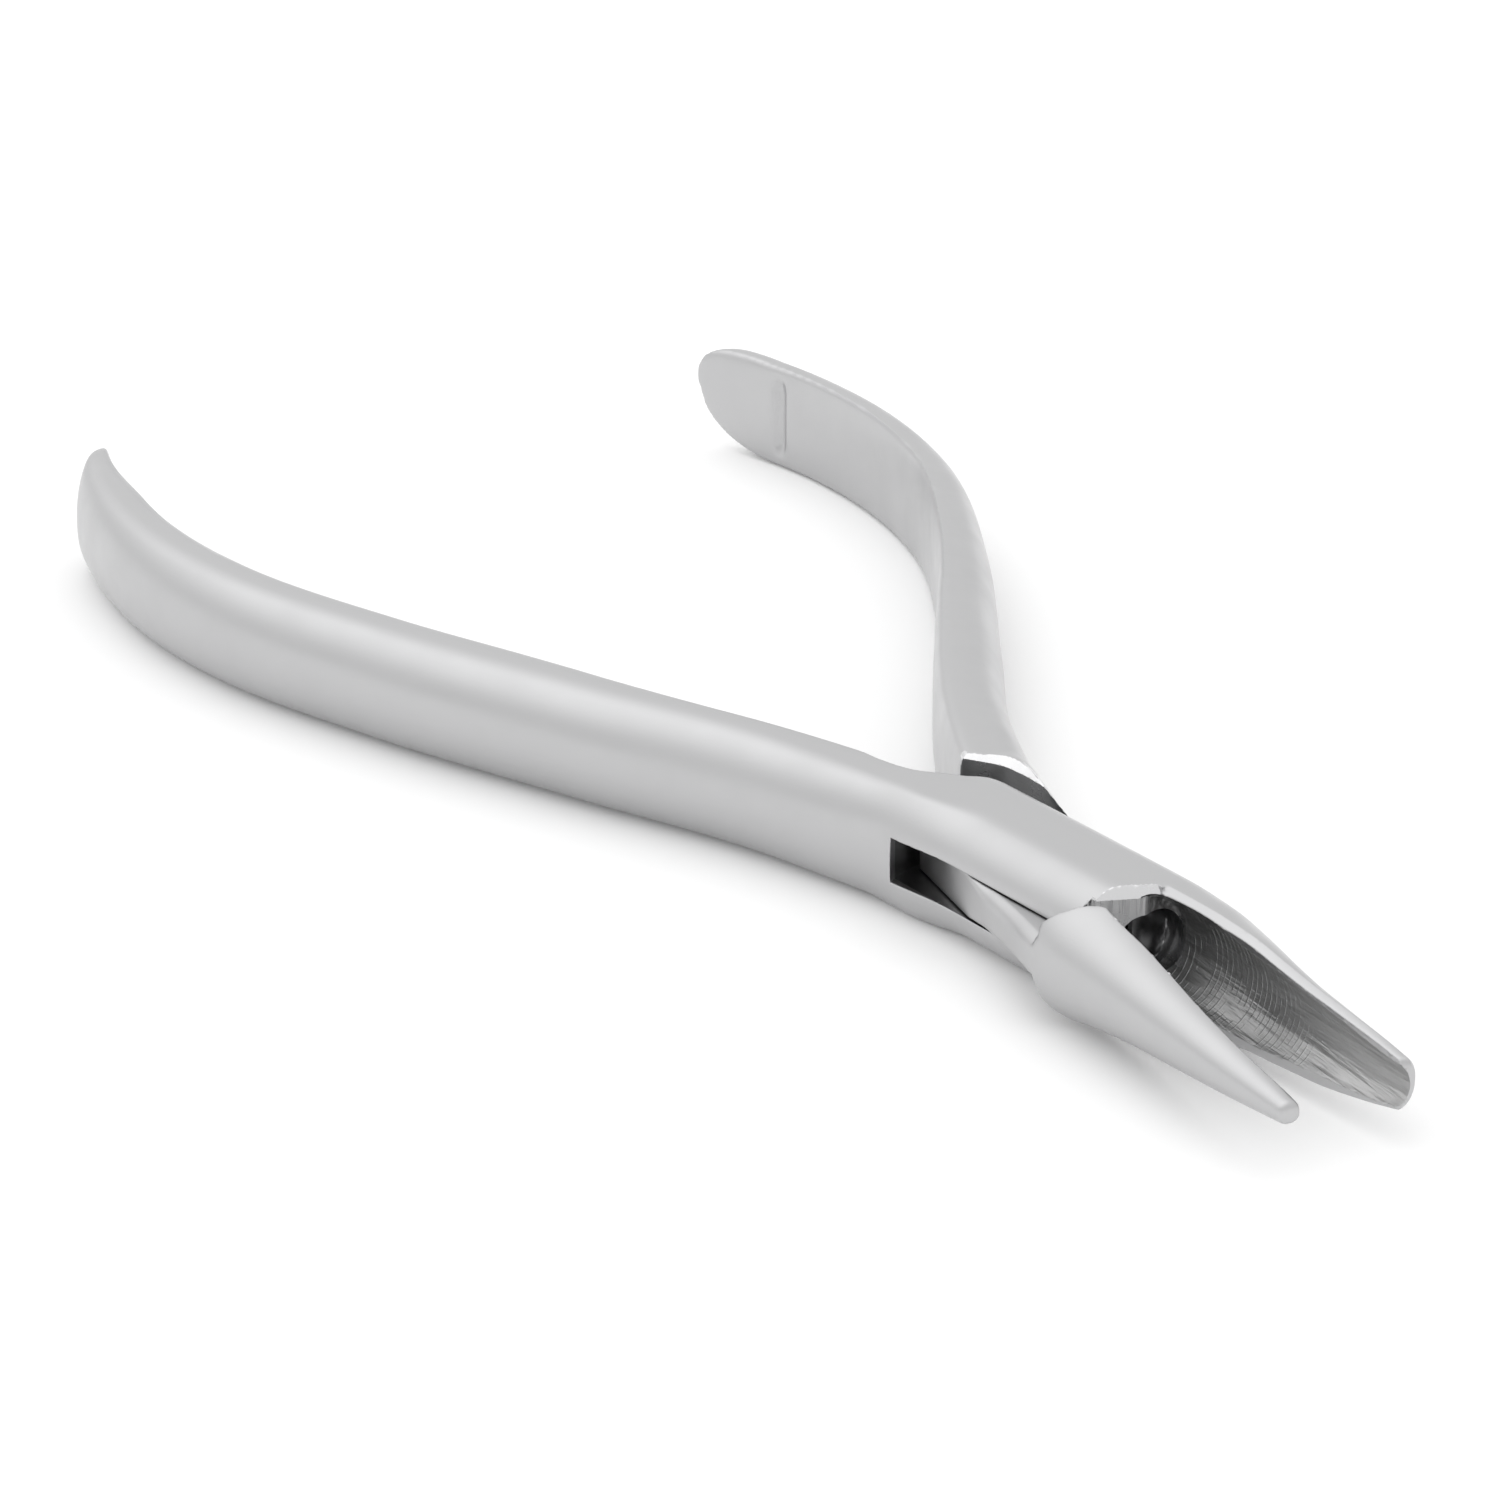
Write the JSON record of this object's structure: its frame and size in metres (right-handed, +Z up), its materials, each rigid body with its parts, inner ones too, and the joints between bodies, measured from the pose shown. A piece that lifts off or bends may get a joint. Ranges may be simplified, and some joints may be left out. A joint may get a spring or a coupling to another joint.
{
  "type": "crimping pliers",
  "caption": "Plain steel box-joint pliers with bowed bare handles, one scooped hollow jaw and one slim conical jaw that closes into it.",
  "frame": {"origin": "on the pivot axis, at the underside of the box joint", "axes": "+X from the pivot towards the jaw tips, along the line that halves the opening; +Y towards the side of the right-hand handle; +Z up along the pivot axis, through the thickness"},
  "size_m": [0.1364, 0.0658, 0.009],
  "materials": {
    "satin_steel": "satin, bead-blasted, polished along the edges",
    "pin_steel": "ground flush and satin finished with the box"
  },
  "bodies": {
    "box_side": {"box_half": "satin_steel", "joint_pin": "pin_steel"},
    "tongue_side": {"tongue_half": "satin_steel"}
  },
  "joints": [
    {"name": "pivot", "type": "hinge", "parent": "box_side", "child": "tongue_side", "pos_m": [0, 0, 0.0045], "axis": [0, 0, -1], "range_deg": [-12.8, 15]}
  ]
}
